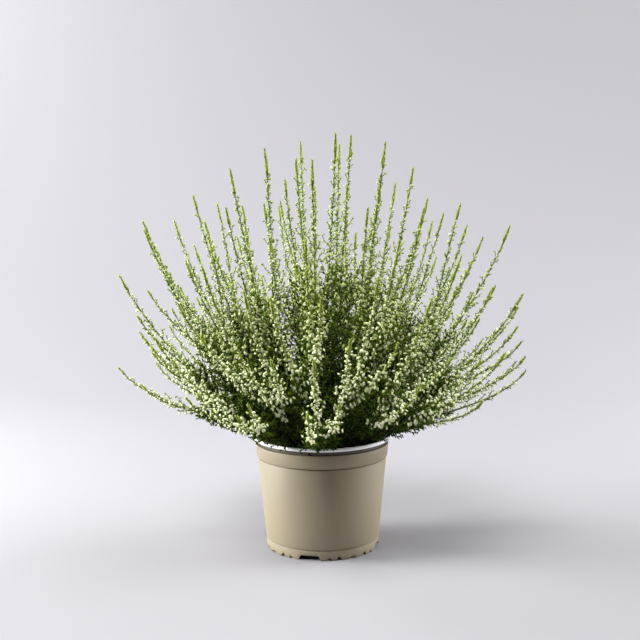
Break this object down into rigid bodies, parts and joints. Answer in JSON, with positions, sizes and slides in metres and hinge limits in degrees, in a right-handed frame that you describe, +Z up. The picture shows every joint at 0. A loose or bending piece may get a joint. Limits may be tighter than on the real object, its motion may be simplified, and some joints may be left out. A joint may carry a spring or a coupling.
{
  "type": "potted heather",
  "caption": "Bushy heather with upright stems of small white buds in a plain round tapered nursery pot.",
  "frame": {"origin": "on the floor under the pot's axis, at the bottom centre of the overall box", "axes": "+Z up along the pot's axis; the side that faces the viewer in the picture looks towards -Y"},
  "size_m": [0.3528, 0.3526, 0.3552],
  "materials": {
    "pot": "satin moulded polypropylene",
    "soil": "crumbly dark peat",
    "flowering stems": "woody stems with pale buds and small leaves",
    "leafy sprays": "woody twigs with small dark green leaves"
  },
  "bodies": {
    "root": {"pot": "pot", "soil": "soil", "branch_00": "flowering stems", "branch_01": "flowering stems", "branch_02": "flowering stems", "branch_03": "flowering stems", "branch_04": "flowering stems", "branch_05": "flowering stems", "branch_06": "flowering stems", "branch_07": "flowering stems", "branch_08": "flowering stems", "branch_09": "flowering stems", "branch_10": "flowering stems", "branch_11": "flowering stems", "branch_12": "flowering stems", "branch_13": "flowering stems", "branch_14": "flowering stems", "branch_15": "flowering stems", "branch_16": "flowering stems", "branch_17": "flowering stems", "branch_18": "flowering stems", "branch_19": "flowering stems", "branch_20": "flowering stems", "branch_21": "flowering stems", "branch_22": "flowering stems", "branch_23": "flowering stems", "branch_24": "flowering stems", "branch_25": "flowering stems", "branch_26": "flowering stems", "branch_27": "flowering stems", "branch_28": "flowering stems", "branch_29": "flowering stems", "branch_30": "flowering stems", "branch_31": "flowering stems", "branch_32": "flowering stems", "branch_33": "flowering stems", "branch_34": "flowering stems", "branch_35": "flowering stems", "branch_36": "flowering stems", "branch_37": "flowering stems", "branch_38": "flowering stems", "branch_39": "flowering stems", "branch_40": "flowering stems", "branch_41": "flowering stems", "branch_42": "flowering stems", "branch_43": "flowering stems", "leafy_spray_00": "leafy sprays", "leafy_spray_01": "leafy sprays", "leafy_spray_02": "leafy sprays", "leafy_spray_03": "leafy sprays", "leafy_spray_04": "leafy sprays", "leafy_spray_05": "leafy sprays", "leafy_spray_06": "leafy sprays", "leafy_spray_07": "leafy sprays", "leafy_spray_08": "leafy sprays", "leafy_spray_09": "leafy sprays", "leafy_spray_10": "leafy sprays", "leafy_spray_11": "leafy sprays"}
  },
  "joints": []
}
